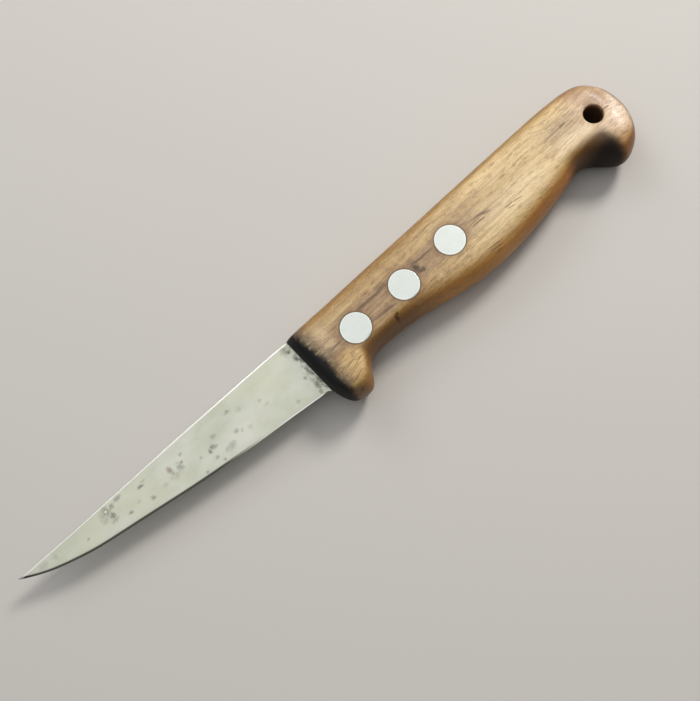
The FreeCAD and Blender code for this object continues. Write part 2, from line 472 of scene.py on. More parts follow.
def handle_cutter():
    """The slot, the lanyard hole and the rivets' pockets, to be cut out of the wood."""
    shapes = [skin_mesh("slot", slot_rings()), lathe("lanyard", LANYARD, lanyard_profile())]
    for centre in RIVETS:
        for sign in (1, -1):
            shapes.append(lathe("pocket", centre, pocket_profile(sign)))
    return link("handle_cutter", joined("handle_cutter", shapes))


def wood_handle():
    """The handle: measured round the CAD node, smoothed, worn, and cut for the metal."""
    mesh = skin_mesh("wood_handle", handle_rings())
    co = points_of(mesh)
    free = ramp(co[:, 0], FRONT_X + END_KEPT, FRONT_X + END_FREE)
    free *= ramp(-co[:, 0], -BUTT_X + END_KEPT, -BUTT_X + END_FREE)
    co = smooth_points(co, edges_of(mesh), free, SMOOTHING_ROUNDS)
    set_points(mesh, co)
    normals = np.zeros(len(co) * 3)
    mesh.vertices.foreach_get("normal", normals)
    co = worn(co, normals.reshape(-1, 3))
    co[:, 2] = np.clip(co[:, 2], HANDLE_LOW.z, HANDLE_HIGH.z)
    set_points(mesh, co)
    obj = link("wood_handle", mesh)
    cutter = handle_cutter()
    cut = obj.modifiers.new("cut", "BOOLEAN")
    cut.operation = "DIFFERENCE"
    cut.solver = "EXACT"
    cut.object = cutter
    finished = baked(obj)
    cut_up(finished)
    obj.modifiers.clear()
    obj.data = finished
    bpy.data.objects.remove(cutter)
    finished.shade_smooth()
    finished.set_sharp_from_angle(angle=SHARP_ANGLE)
    return obj


# ---------------------------------------------------------------- materials

# The Mix node's sockets for colours, which share their names with others.
MIX_COLOUR_A = 6
MIX_COLOUR_B = 7
MIX_COLOUR = 2


def paint(red, green, blue):
    """A colour by its display values, 0 to 255."""
    def linear(v):
        v = v / 255
        return v / 12.92 if v <= 0.04045 else ((v + 0.055) / 1.055) ** 2.4

    return linear(red), linear(green), linear(blue)


class Value:
    """A shader value that can be used in sums."""

    def __init__(self, shader, source):
        self.shader = shader
        self.source = source

    def __add__(self, other):
        return self.shader.math("ADD", self, other)

    def __sub__(self, other):
        return self.shader.math("SUBTRACT", self, other)

    def __rsub__(self, other):
        return self.shader.math("SUBTRACT", other, self)

    def __mul__(self, other):
        return self.shader.math("MULTIPLY", self, other)

    __radd__ = __add__
    __rmul__ = __mul__


class Shader:
    """Builds one material's nodes. Positions are in millimetres from the front rivet."""

    def __init__(self, name):
        self.material = bpy.data.materials.new(name)
        self.material.use_nodes = True
        self.tree = self.material.node_tree
        self.surface = self.tree.nodes["Principled BSDF"]
        self.colour = None
        place = self.node("ShaderNodeTexCoord").outputs["Object"]
        shifted = self.vector("SUBTRACT", place, (DATUM.x, DATUM.y, MID_Z))
        self.place = self.vector("MULTIPLY", shifted, (1 / MM, 1 / MM, 1 / MM))
        split = self.node("ShaderNodeSeparateXYZ")
        self.put(split.inputs[0], self.place)
        self.x, self.y, self.z = (Value(self, out) for out in split.outputs)

    def node(self, kind, **settings):
        made = self.tree.nodes.new(kind)
        for key, value in settings.items():
            setattr(made, key, value)
        return made

    def put(self, socket, value):
        value = value.source if isinstance(value, Value) else value
        if isinstance(value, bpy.types.NodeSocket):
            self.tree.links.new(value, socket)
        elif isinstance(value, tuple) and socket.type == "RGBA":
            socket.default_value = (*value, 1.0)
        else:
            socket.default_value = value

    def math(self, operation, a, b=0.0):
        made = self.node("ShaderNodeMath", operation=operation)
        self.put(made.inputs[0], a)
        self.put(made.inputs[1], b)
        return Value(self, made.outputs[0])

    def vector(self, operation, a, b):
        made = self.node("ShaderNodeVectorMath", operation=operation)
        self.put(made.inputs[0], a)
        self.put(made.inputs[1], b)
        return made.outputs[0]

    def noise(self, scale, detail=3.0, roughness=0.5, distortion=0.0, source=None, shift=0.0):
        """Fractal noise, 0 to 1. scale is in cycles per millimetre along x, y and z."""
        place = self.vector("MULTIPLY", source or self.place, scale)
        if shift:
            place = self.vector("ADD", place, (shift, shift * 0.7, shift * 1.3))
        made = self.node("ShaderNodeTexNoise")
        self.put(made.inputs["Vector"], place)
        self.put(made.inputs["Scale"], 1.0)
        self.put(made.inputs["Detail"], detail)
        self.put(made.inputs["Roughness"], roughness)
        self.put(made.inputs["Distortion"], distortion)
        return Value(self, made.outputs["Fac"])

    def step(self, value, low, high):
        """0 at low, 1 at high, smooth between. low may be above high."""
        made = self.node("ShaderNodeMapRange", interpolation_type="SMOOTHSTEP")
        self.put(made.inputs["Value"], value)
        self.put(made.inputs["From Min"], min(low, high))
        self.put(made.inputs["From Max"], max(low, high))
        self.put(made.inputs["To Min"], 0.0 if low < high else 1.0)
        self.put(made.inputs["To Max"], 1.0 if low < high else 0.0)
        return Value(self, made.outputs["Result"])

    def mix(self, share, a, b, kind="MIX"):
        """Colour a where share is 0 and b where it is 1."""
        made = self.node("ShaderNodeMix", data_type="RGBA", blend_type=kind, clamp_factor=True)
        self.put(made.inputs["Factor"], share)
        self.put(made.inputs[MIX_COLOUR_A], a)
        self.put(made.inputs[MIX_COLOUR_B], b)
        return Value(self, made.outputs[MIX_COLOUR])

    def coat(self, share, colour, kind="MIX"):
        """Lays a colour over the surface's colour so far, where share is above 0."""
        self.colour = self.mix(share, self.colour, colour, kind)

    def attribute(self, name):
        """A number that the mesh holds for each of its points."""
        made = self.node("ShaderNodeAttribute", attribute_name=name)
        return Value(self, made.outputs["Fac"])

    def away(self, x, y, radius_x=1.0, radius_y=1.0):
        """Distance across the side from a point, as a multiple of the radii."""
        dx = (self.x - x) * (1 / radius_x)
        dy = (self.y - y) * (1 / radius_y)
        return self.math("SQRT", dx * dx + dy * dy)

    def from_rivet(self):
        """Distance across the side to the centre of the nearest rivet."""
        places = [((c.x - DATUM.x) / MM, (c.y - DATUM.y) / MM) for c in RIVETS]
        nearest = self.away(*places[0])
        for place in places[1:]:
            nearest = self.math("MINIMUM", nearest, self.away(*place))
        return nearest

    def spot(self, x, y, radius_x, radius_y, ragged):
        """1 at a point of the side and 0 outside an ellipse about it, with a ragged rim."""
        return self.step(self.away(x, y, radius_x, radius_y) + ragged, 1.15, 0.35)

    def streak(self, x, y, to_x, to_y, width, wander):
        """1 along a thin line between two points of the side, tapering to nothing at its ends."""
        length = math.hypot(to_x - x, to_y - y)
        along_x, along_y = (to_x - x) / length, (to_y - y) / length
        dx = self.x - x
        dy = self.y - y + wander
        along = (dx * along_x + dy * along_y) * (1 / length)
        aside = self.math("ABSOLUTE", dx * along_y - dy * along_x)
        end = self.step(along, 0.0, 0.25) * self.step(along, 1.0, 0.75)
        return self.step(aside, width, width * 0.2) * end

    def most(self, values):
        """The largest of the values."""
        total = values[0]
        for value in values[1:]:
            total = self.math("MAXIMUM", total, value)
        return total

    def bump(self, height, depth):
        """depth is the height's size in millimetres when it goes from 0 to 1."""
        made = self.node("ShaderNodeBump")
        self.put(made.inputs["Height"], height)
        self.put(made.inputs["Strength"], 1.0)
        self.put(made.inputs["Distance"], depth * MM)
        self.tree.links.new(made.outputs["Normal"], self.surface.inputs["Normal"])


# ---------------------------------------------------------------- wood

# Fine cracks in the upper side: from x and y to x and y, and the width.
CRACKS = (
    (60.2, -4.6, 64.6, -5.0, 0.16),
    (63.6, -5.0, 67.9, -5.7, 0.18),
    (60.8, -5.3, 64.0, -6.1, 0.13),
    (46.8, -10.7, 52.2, -11.0, 0.22),
    (47.3, -11.8, 52.6, -12.1, 0.20),
    (48.2, -13.0, 52.0, -13.0, 0.16),
    (48.6, -1.9, 54.6, -2.5, 0.18),
    (53.6, -1.2, 57.4, -2.0, 0.16),
    (105.6, -2.8, 110.4, -3.3, 0.16),
    (-12.0, -7.6, -6.4, -6.6, 0.07),
    (-9.6, -8.8, -4.2, -7.4, 0.06),
    (-12.6, -10.2, -6.8, -9.0, 0.06),
    (-11.4, -12.0, -7.0, -10.6, 0.06),
    (92.2, 9.3, 95.6, 8.9, 0.18),
)
# Dark streaks in the wood, given in the same way.
DARK_STREAKS = (
    (2.0, 3.9, 17.5, 3.3, 0.9),
    (11.5, 4.4, 17.2, 4.4, 1.8),
    (26.0, 2.5, 36.0, 1.9, 0.6),
    (4.5, -2.0, 16.0, -3.0, 0.9),
    (45.0, 1.3, 58.0, -1.6, 0.8),
    (-12.0, 0.6, -5.4, 0.2, 1.0),
    (80.0, 3.2, 99.0, 2.0, 0.7),
)
# Dents with dirt in them: x, y, half lengths along x and y.
KNOTS = (
    (11.4, -6.4, 0.75, 1.35),
    (12.3, -5.6, 0.6, 0.6),
    (-11.6, -15.0, 0.9, 0.55),
)
# The stain behind the middle rivet: x, y, half lengths along x and y, raggedness, strength.
STAIN = (
    (26.7, 0.7, 1.3, 2.3, 0.9, 1.0),
    (28.0, -0.9, 1.9, 1.0, 0.9, 0.8),
    (26.9, 2.6, 1.9, 2.6, 1.0, 0.4),
)
# Painted highlights (the first two rows), then pale and dull patches of the butt: x, y, half
# lengths, raggedness, strength, colour.
BUTT_HIGHLIGHTS_AND_PATCHES = (
    (110.4, -8.6, 5.6, 6.4, 0.3, 0.90, (252, 226, 200)),
    (113.2, -5.0, 3.4, 6.8, 0.3, 0.80, (255, 240, 222)),
    (94.0, -3.6, 10.0, 3.6, 0.4, 0.70, (250, 226, 192)),
    (107.5, 1.0, 5.0, 3.4, 0.6, 0.75, (156, 122, 96)),
    (109.0, 7.5, 8.0, 6.0, 0.4, 0.50, (164, 126, 100)),
)


class Wood(Shader):
    """The handle's oiled wood. Each method lays its colours over those laid before it."""

    def __init__(self):
        super().__init__("oiled_hardwood")
        self.grain = self.along_fibres()
        self.fibres = self.noise((0.045, 1.3, 1.0), 5, 0.62, source=self.grain)
        self.bands = self.noise((0.012, 0.30, 0.16), 4, 0.6, source=self.grain, shift=2.0)
        self.mottle = self.noise((0.27, 0.75, 0.7), 4, 0.62, source=self.grain, shift=23.0)
        self.scrape = self.noise((0.5, 2.2, 1.6), 3, 0.6, shift=27.0)
        self.patches = self.noise((0.035, 0.10, 0.10), 3, 0.55, shift=3.0) - 0.5
        self.blotches = self.noise((0.12, 0.3, 0.3), 3, 0.6, shift=13.0) - 0.5
        self.ragged = (self.noise((0.8, 0.8, 0.8), 3, 0.6) - 0.5) * 1.2

        side_half = (HANDLE_HIGH.z - MID_Z) / MM
        self.inward = side_half - self.math("ABSOLUTE", self.z)
        self.upper_side = self.step(self.z, 0.0, 4.0)
        self.rearward = self.step(self.x + self.patches * 40.0, 28.0, 62.0)
        self.butt = self.step(self.x + self.blotches * 9.0, 94.0, 106.0)

        # the rounded edges along the back and the belly, and the lower part behind the guard; the
        # belly's edge and that lower part get painted shade
        self.low = self.step(self.y, -2.0, -6.0)
        turned = self.step(self.inward + self.blotches, 0.2, 2.6)
        self.back_edge = turned * self.step(self.y, 4.0, 8.0)
        self.belly_edge = turned * self.low
        self.behind_guard = self.step(self.x, 32.0, 12.0) * self.step(self.x, -5.0, -2.0)
        self.hollow = self.step(self.y, -3.8, -6.5) * self.behind_guard
        # pale marks are held back where shade is painted, in that lower part and on the belly's
        # edge
        self.pale = 1.0 - self.most([self.hollow, self.belly_edge * 0.7])

    def along_fibres(self):
        """Coordinates that run along the wood's fibres, which waver a little."""
        slow = self.noise((0.018, 0.05, 0.05), 2) * 7.0
        quick = self.noise((0.07, 0.2, 0.2), 2, shift=5.0) * 1.2
        bent = self.node("ShaderNodeCombineXYZ")
        self.put(bent.inputs[0], self.x)
        self.put(bent.inputs[1], self.y + (slow + quick))
        self.put(bent.inputs[2], self.z)
        return bent.outputs[0]

    def broad_tones(self):
        """Dull round the rivets, pale and polished behind them, with a painted highlight along the
        lower middle.
        """
        self.colour = self.mix(self.rearward, paint(194, 162, 116), paint(234, 206, 157))
        self.coat(self.step(self.bands, 0.40, 0.62) * 0.45, paint(204, 172, 118))
        self.coat(self.step(self.mottle, 0.50, 0.70) * 0.50, paint(146, 116, 80))
        self.coat(self.step(self.mottle, 0.46, 0.30) * 0.42, paint(230, 203, 154))
        height = self.y + self.blotches * 4.0
        front_back = self.step(self.x, 8.0, -4.0) * self.step(height, 3.0, 6.5)
        self.coat(front_back * 0.55, paint(214, 190, 142))
        # painted highlight: a pale band along the lower middle of the side
        lower_highlight = self.spot(64.0, -3.6, 19.0, 4.4, self.patches * 0.6)
        self.coat(lower_highlight * 0.55, paint(250, 226, 184))
        from_rivets = self.math("ABSOLUTE", self.y - 0.6 + (self.bands - 0.5) * 7.0)
        cool = self.step(from_rivets, 6.2, 2.6)
        cool = cool * self.step(self.x + self.patches * 30.0, 74.0, 40.0)
        self.coat(cool * 0.75, paint(160, 132, 107))
        rubbed = self.step(self.x + self.ragged, -6.0, -9.0) * self.step(height, -2.5, 1.5)
        self.coat(rubbed * 0.55, paint(226, 200, 160))

    def guard_and_rear(self):
        """The pale, scraped guard with a painted highlight on it, and the redder wood towards the
        butt.
        """
        guard = self.step(self.x + self.ragged, -2.0, -6.0)
        guard = guard * self.step(self.y + self.blotches * 5.0, -2.0, -5.5)
        self.coat(guard * 0.75, paint(205, 166, 106))
        # painted highlight: a pale spot on the guard
        guard_highlight = self.spot(-7.6, -7.6, 7.0, 4.6, self.ragged * 0.4)
        self.coat(guard_highlight * 0.7, paint(232, 199, 145))
        self.coat(guard * self.step(self.scrape, 0.50, 0.66) * 0.40, paint(140, 108, 64))
        low_guard = self.step(self.y + self.ragged, -11.5, -16.0) * self.step(self.x, -4.0, -7.0)
        self.coat(low_guard * 0.65, paint(116, 92, 52))
        worn_dark = self.spot(93.5, 1.4, 10.0, 4.6, self.ragged * 0.6)
        self.coat(worn_dark * 0.60, paint(170, 142, 116))
        self.coat(self.butt * 0.7, paint(212, 178, 148))

    def edges(self):
        """Olive along the back; painted shade, brown along the belly and dark in the hollow behind
        the guard.
        """
        self.coat(self.back_edge * 0.85, paint(152, 114, 48))
        handled = self.step(self.y, 7.0, 10.5) * self.step(self.x, 50.0, 6.0)
        self.coat(handled * 0.55, paint(150, 112, 56))
        # painted shade: the lower side darkens where it starts to turn away from the light
        near_belly_shade = self.step(self.inward + self.blotches * 0.6, 0.1, 0.9) * self.low
        self.coat(near_belly_shade * 0.45, paint(180, 136, 72))
        # painted shade on the belly's rounded edge, in a warm brown
        self.coat(self.belly_edge * 0.78, paint(176, 120, 38))
        # painted shade on the belly's edge at the guard
        guard_edge_shade = self.belly_edge * self.step(self.x, -2.0, -5.0)
        self.coat(guard_edge_shade * 0.7, paint(136, 102, 54))
        # painted shade in the hollow behind the guard, and darker still on the belly's edge there
        self.coat(self.hollow * 0.75, paint(110, 76, 20))
        self.coat(self.belly_edge * self.behind_guard * 0.42, paint(74, 42, 0))

    def butt_end(self):
        """Painted highlights, pale and dull patches, and the reddish end."""
        # the first two patches are painted highlights on the butt's rounding
        for x, y, half_x, half_y, ragged, strength, colour in BUTT_HIGHLIGHTS_AND_PATCHES:
            patch = self.spot(x, y, half_x, half_y, self.ragged * ragged)
            self.coat(patch * strength, paint(*colour))
        smudge = self.butt * self.step(self.mottle, 0.46, 0.66)
        self.coat(smudge * 0.45, paint(158, 124, 104))
        end = self.step(self.inward + self.blotches * 1.4, 1.0, 3.0)
        self.coat(end * self.step(self.x, 100.0, 107.0) * 0.86, paint(122, 74, 50))

    def dirt(self):
        """Dirt and wear in small patches, fewer where the hand has polished the wood."""
        patchy = self.noise((0.34, 0.62, 0.55), 4, 0.68, 0.7, shift=37.0)
        plain = self.step(self.x, 34.0, 66.0) * 0.5
        self.coat(self.step(patchy, 0.50, 0.68) * (0.38 - plain * 0.5), paint(118, 94, 70))
        worn = self.step(patchy, 0.47, 0.32) * (0.34 - plain * 0.3)
        self.coat(worn * self.pale, paint(222, 196, 150))
        speckle = self.noise((1.5, 3.2, 2.6), 3, 0.66, source=self.grain, shift=31.0)
        self.coat(self.step(speckle, 0.50, 0.66) * (0.22 - plain * 0.12), paint(112, 84, 54))
        self.coat(self.step(speckle, 0.48, 0.34) * 0.16 * self.pale, paint(238, 212, 166))

    def fibres_and_edge_shade(self):
        """Dark and pale fibres; a warmer, deeper tone along the edges, which on the belly's edge
        and behind the guard is painted shade; more painted shade on the belly's edge before the
        hook.
        """
        self.coat(self.step(self.fibres, 0.44, 0.68) * 0.32, paint(124, 92, 54))
        self.coat(self.step(self.fibres, 0.46, 0.30) * 0.22 * self.pale, paint(236, 208, 158))
        # warmer, deeper tone: painted shade on the belly's edge and behind the guard, and the back
        # edge's own tone
        warm = self.most([self.belly_edge, self.hollow, self.back_edge * 0.8])
        self.coat(warm * 0.9, paint(255, 240, 206), "MULTIPLY")
        # painted shade: the belly's edge darker from the middle towards the hook
        belly_shade = self.belly_edge * self.step(self.x, 54.0, 68.0) * self.step(self.x, 96.0, 86.0)
        self.coat(belly_shade, paint(242, 228, 206), "MULTIPLY")

    def pores_and_cracks(self):
        """Open pores, dark streaks and fine cracks along the fibres."""
        pores = self.noise((0.26, 3.9, 3.0), 2, 0.5, source=self.grain, shift=7.0)
        field = self.step(self.noise((0.03, 0.2, 0.2), 2, shift=11.0), 0.34, 0.60)
        self.pore = self.step(pores, 0.585, 0.69) * field
        self.coat(self.pore * 0.40, paint(92, 66, 40))
        wander = self.blotches * 1.4
        streaks = self.most([self.streak(*line, wander) for line in DARK_STREAKS])
        self.coat(streaks * self.step(self.fibres, 0.30, 0.62) * 0.70, paint(94, 74, 62))
        cracks = self.most([self.streak(*line, wander * 0.5) for line in CRACKS])
        self.crack = cracks * self.upper_side
        self.coat(self.crack * 0.60, paint(84, 58, 32))

    def marks_of_use(self):
        """Dirty dents, a stain, and dirt round the rivets."""
        knots = self.most([self.spot(*knot, self.ragged * 0.5) for knot in KNOTS])
        self.coat(knots * self.upper_side * 0.75, paint(62, 38, 16))
        stain = self.most([
            self.spot(x, y, half_x, half_y, self.ragged * ragged) * strength
            for x, y, half_x, half_y, ragged, strength in STAIN
        ]) * self.upper_side
        self.coat(stain * self.step(self.scrape, 0.10, 0.44) * 0.86, paint(56, 49, 44))
        away = self.from_rivet()
        self.coat(self.step(away + self.ragged * 0.6, 7.6, 5.2) * 0.35, paint(120, 88, 64))
        self.coat(self.step(away + self.ragged * 0.15, 5.7, 5.1) * 0.55, paint(74, 54, 38))

    def hook_grime_and_shade(self):
        """The hollow under the butt's hook: grime and painted shade, brown and then black."""
        smear = self.ragged * 0.9 + (self.mottle - 0.5) * 3.4
        low_down = self.step(self.y, -8.0, -14.0)
        inside = self.step(self.x + smear, 83.0, 91.0)
        inside = inside * self.step(self.x + smear * 0.5 - low_down * 0.6, 104.6, 100.4)
        # grime and painted shade, brown below the top of the hollow
        brown_grime_and_shade = inside * self.step(self.y + smear * 0.4, -4.6, -8.6)
        self.coat(brown_grime_and_shade * 0.88, paint(82, 52, 18))
        # grime and painted shade, black deeper in the hollow
        self.shade = inside * self.step(self.y + smear * 0.4, -7.0, -13.0)
        self.coat(self.shade * 0.96, paint(18, 9, 3))

    def round_lanyard_hole(self):
        """A faint dark ring, and painted shade on the hole's wall."""
        away = self.away((LANYARD.x - DATUM.x) / MM, (LANYARD.y - DATUM.y) / MM)
        self.coat(self.step(away + self.ragged * 0.2, 4.4, 3.5) * 0.25, paint(134, 104, 80))
        # painted shade: the hole's wall darker inside
        shaded_wall = self.step(away, 3.8, 3.4) * self.step(self.inward, 0.3, 2.0)
        self.coat(shaded_wall * 0.85, paint(70, 48, 30))

    def soot_at_front(self):
        """Black along the front, fading into a brown haze with a frayed rim."""
        arched = self.math("ABSOLUTE", self.y - 1.0) * 0.07
        drift = (self.noise((0.45, 0.4, 0.4), 4, 0.62, shift=17.0) - 0.5) * 3.0
        frayed = (self.noise((1.3, 1.9, 1.7), 4, 0.70, shift=19.0) - 0.5) * 2.6
        reach = self.x + drift + arched - self.step(self.y, 3.5, -1.0) * 1.1
        haze = self.step(reach + frayed * 1.6, -8.6, -14.2)
        self.coat(haze * self.step(self.mottle, 0.20, 0.60) * 0.80, paint(86, 76, 62))
        self.soot = self.step(reach + frayed * 0.5, -13.0, -15.5)
        self.coat(self.soot, paint(9, 11, 11))

    def finish(self):
        """Sets the surface's sockets from the colours and masks made so far."""
        polish = self.noise((0.1, 1.0, 1.0), 3) * 0.16 + 0.40
        polish = polish - self.rearward * 0.05 - self.butt * 0.09
        self.put(self.surface.inputs["Base Color"], self.colour)
        self.put(self.surface.inputs["Roughness"], polish + self.soot * 0.30 + self.shade * 0.40)
        self.surface.inputs["Specular IOR Level"].default_value = 0.4
        uneven = self.noise((0.25, 0.6, 0.6), 3, shift=21.0)
        height = self.fibres * 0.35 - self.pore * 0.8 - self.crack * 2.2 + uneven * 1.2
        self.bump(height, 0.07)


def wood_material():
    wood = Wood()
    wood.broad_tones()
    wood.guard_and_rear()
    wood.edges()
    wood.butt_end()
    wood.dirt()
    wood.fibres_and_edge_shade()
    wood.pores_and_cracks()
    wood.marks_of_use()
    wood.hook_grime_and_shade()
    wood.round_lanyard_hole()
    wood.soot_at_front()
    wood.finish()
    return wood.material


# ---------------------------------------------------------------- steel

# Dark pits and stains: x, y, half lengths along x and y, strength.
PITS = (
    (-95.0, 13.4, 1.5, 2.0, 0.50),
    (-94.1, 11.0, 0.9, 1.1, 0.75),
    (-94.4, 9.6, 1.4, 0.9, 0.40),
    (-92.6, 13.6, 0.9, 0.8, 0.60),
    (-96.6, 12.4, 1.3, 2.2, 0.30),
    (-89.8, 14.2, 1.5, 0.7, 0.55),
    (-89.3, 7.9, 0.8, 0.6, 0.55),
    (-82.0, 11.8, 1.1, 0.55, 0.85),
    (-80.4, 12.6, 1.0, 0.4, 0.30),
    (-81.2, 6.4, 0.8, 0.8, 0.55),
    (-69.0, 8.0, 1.3, 1.5, 0.50),
    (-71.6, 6.9, 1.8, 1.3, 0.28),
    (-66.5, 10.8, 0.6, 0.6, 0.55),
    (-58.9, 4.8, 0.7, 0.7, 0.95),
    (-57.8, 5.5, 1.0, 0.8, 0.80),
    (-56.8, 4.8, 0.9, 0.6, 0.55),
    (-62.3, 5.4, 0.6, 0.5, 0.40),
    (-55.3, 7.8, 0.9, 0.7, 0.48),
    (-53.0, 1.6, 2.1, 1.2, 0.42),
    (-58.6, 1.8, 0.8, 0.5, 0.55),
    (-57.2, -0.2, 0.6, 0.5, 0.50),
    (-48.8, 4.0, 0.9, 0.8, 0.50),
    (-47.3, 2.9, 0.6, 0.5, 0.35),
    (-47.1, 10.5, 0.9, 0.6, 0.65),
    (-43.6, 8.6, 1.1, 0.8, 0.25),
    (-44.6, 1.8, 0.9, 0.7, 0.20),
    (-37.0, 6.0, 0.6, 0.5, 0.40),
    (-36.1, 3.7, 1.2, 0.5, 0.25),
    (-28.3, -2.9, 0.8, 0.7, 0.40),
    (-104.3, 10.8, 0.5, 0.5, 0.55),
    (-115.2, 14.0, 0.7, 1.1, 0.22),
    (-119.6, 14.4, 1.6, 1.1, 0.25),
    (-85.4, 8.6, 0.9, 0.5, 0.22),
    (-76.0, 6.8, 1.1, 0.6, 0.20),
    (-63.8, 0.6, 0.5, 0.6, 0.45),
    (-21.7, 1.2, 0.6, 0.6, 0.55),
    (-20.8, 12.6, 1.4, 1.7, 0.50),
    (-19.9, 11.2, 0.6, 0.7, 0.80),
    (-19.6, 7.6, 0.5, 0.8, 0.55),
    (-20.2, -3.1, 0.9, 1.5, 0.62),
    (-18.9, -2.0, 0.6, 1.6, 0.50),
    (-20.9, -5.2, 0.7, 0.9, 0.55),
    (-19.3, 1.0, 0.5, 1.1, 0.40),
)
# Rusty stains, given in the same way.
RUSTY = (
    (-72.2, 9.4, 0.9, 1.2, 0.55),
    (-67.9, 8.7, 0.5, 0.5, 0.40),
    (-72.0, 7.9, 0.6, 0.5, 0.30),
)
# The one pit with a bright middle.
BRIGHT_PIT = (-95.1, 13.5, 0.42, 0.42)


class Steel(Shader):
    """The blade's worn steel. Each method lays its colours over those laid before it."""

    def __init__(self):
        super().__init__("worn_carbon_steel")
        self.clouds = self.noise((0.05, 0.08, 0.08), 4, 0.6)
        self.speck = self.noise((1.5, 1.5, 1.5), 4, 0.7, shift=6.0)
        self.ragged = (self.noise((0.9, 0.9, 0.9), 5, 0.72, shift=8.0) - 0.5) * 2.6
        self.upper_side = self.step(self.z, -0.05, 0.05)
        self.tang = self.step(self.x, -17.2, -16.4)

    def marks(self, table, ragged):
        """The strongest of a table of pits at each point, on the upper side."""
        spots = [self.step(self.away(x, y, half_x, half_y) + ragged, 1.5, 0.3) * strength
                 for x, y, half_x, half_y, strength in table]
        return self.most(spots) * self.upper_side

    def faces(self):
        """Cloudy grey-green steel with faint specks."""
        warm = self.noise((0.035, 0.06, 0.06), 3, 0.5, shift=4.0)
        cloudy = self.step(self.clouds, 0.30, 0.70)
        self.colour = self.mix(cloudy, paint(203, 206, 188), paint(222, 224, 212))
        self.coat(self.step(warm, 0.45, 0.70) * 0.4, paint(210, 211, 180))
        faint = self.step(self.speck, 0.60, 0.78) * self.step(self.clouds, 0.35, 0.60)
        self.coat(faint * 0.22, paint(120, 118, 100))

    def pits_and_rust(self):
        """The listed pits and stains, broken up by a fine mottle."""
        mottle = self.step(self.noise((2.1, 2.1, 2.1), 4, 0.7, shift=9.0), 0.36, 0.66)
        self.pits = self.marks(PITS, self.ragged) * (mottle * 0.6 + 0.4) * 1.05
        self.coat(self.pits, paint(76, 78, 68))
        self.coat(self.marks(RUSTY, self.ragged * 0.5), paint(118, 80, 58))
        self.coat(self.spot(*BRIGHT_PIT, 0.0) * self.upper_side, paint(250, 250, 246))

    def heel(self):
        """The zone beside the handle, where damp and soot have eaten the face."""
        outside = 1.0 - self.tang
        heel = self.step(self.x + self.ragged * 0.9, -22.0, -18.8) * outside
        cells = self.noise((0.7, 0.5, 0.5), 3, 0.6, shift=12.0)
        self.eaten = heel * self.step(cells, 0.44, 0.62)
        self.coat(self.eaten * 0.55, paint(92, 94, 84))
        beside = self.step(self.x + self.ragged * 0.35, -20.4, -18.2) * outside
        self.coat(beside * 0.18, paint(92, 94, 84))

    def edges(self):
        """A cutting edge that is dull towards the point, with a painted highlight near the heel; a
        painted highlight along the spine.
        """
        from_edge = self.attribute("from_edge")
        from_spine = self.attribute("from_spine")
        dull = self.step(from_edge, 1.00, 0.50) * self.step(self.x, -40.0, -60.0)
        self.coat(dull * 0.92, paint(46, 45, 40))
        # painted highlight: a white line along the edge near the heel
        edge_highlight = self.step(from_edge, 0.42, 0.22) * self.step(self.x, -42.0, -33.0)
        self.coat(edge_highlight * self.step(self.x, -20.6, -21.4), paint(255, 255, 250))
        # painted highlight: a white line along the spine
        spine_highlight = self.step(from_spine, 0.85, 0.45) * self.step(self.x, -18.0, -20.0)
        self.coat(spine_highlight * 0.85, paint(255, 255, 252))

    def tang_back(self):
        """The tang's back, flush with the wood: dulled by the hand, and sooty at the front."""
        dulled = self.mix(self.speck, paint(128, 124, 112), paint(168, 164, 150))
        self.coat(self.tang * 0.75, dulled)
        sooty = self.step(self.x + self.ragged * 0.5, -12.0, -16.0)
        self.root = self.step(self.x, -18.5, -18.2) * sooty
        self.coat(self.root * 0.85, paint(40, 40, 37))

    def finish(self):
        """Sets the surface's sockets from the colours and masks made so far."""
        rough = self.clouds * 0.12 + 0.27 + self.pits * 0.25 + self.eaten * 0.2
        rough = rough + self.tang * 0.12 + self.root * 0.2
        grind = self.noise((3.4, 0.12, 1.0), 3, 0.6)
        self.put(self.surface.inputs["Base Color"], self.colour)
        self.put(self.surface.inputs["Metallic"], 0.92 - self.pits * 0.5)
        self.put(self.surface.inputs["Roughness"], rough)
        self.bump(grind * 0.12 - self.pits * 0.9 - self.eaten * 0.3, 0.03)


def steel_material():
    steel = Steel()
    steel.faces()
    steel.pits_and_rust()
    steel.heel()
    steel.edges()
    steel.tang_back()
    steel.finish()
    return steel.material


# ---------------------------------------------------------------- rivets

def rivet_material():
    """Rubbed, slightly scuffed aluminium with a brighter rim."""
    s = Shader("rivet_aluminium")
    rub = s.noise((2.2, 0.5, 1.0), 4, 0.6)
    scuff = s.step(s.noise((0.5, 2.4, 1.0), 4, 0.6, shift=3.0), 0.52, 0.72)
    clouds = s.noise((0.25, 0.25, 0.25), 3, 0.5, shift=5.0)
    s.colour = s.mix(clouds, paint(220, 227, 222), paint(233, 239, 235))
    s.coat(scuff * 0.30, paint(206, 212, 208))
    s.coat(s.step(s.from_rivet(), 4.45, 4.85) * 0.5, paint(248, 250, 247))
    s.put(s.surface.inputs["Base Color"], s.colour)
    s.surface.inputs["Metallic"].default_value = 0.6
    s.put(s.surface.inputs["Roughness"], rub * 0.08 + 0.25)
    s.bump(rub * 0.15 + clouds, 0.006)
    return s.material


# ---------------------------------------------------------------- assembly

WELD = 0.001 * MM         # joins the points that the rivets' faces share
RIM_SEGMENTS = 3
RIM_ANGLE = math.radians(40)


def dress(piece, material):
    piece.data.materials.clear()
    piece.data.materials.append(material)


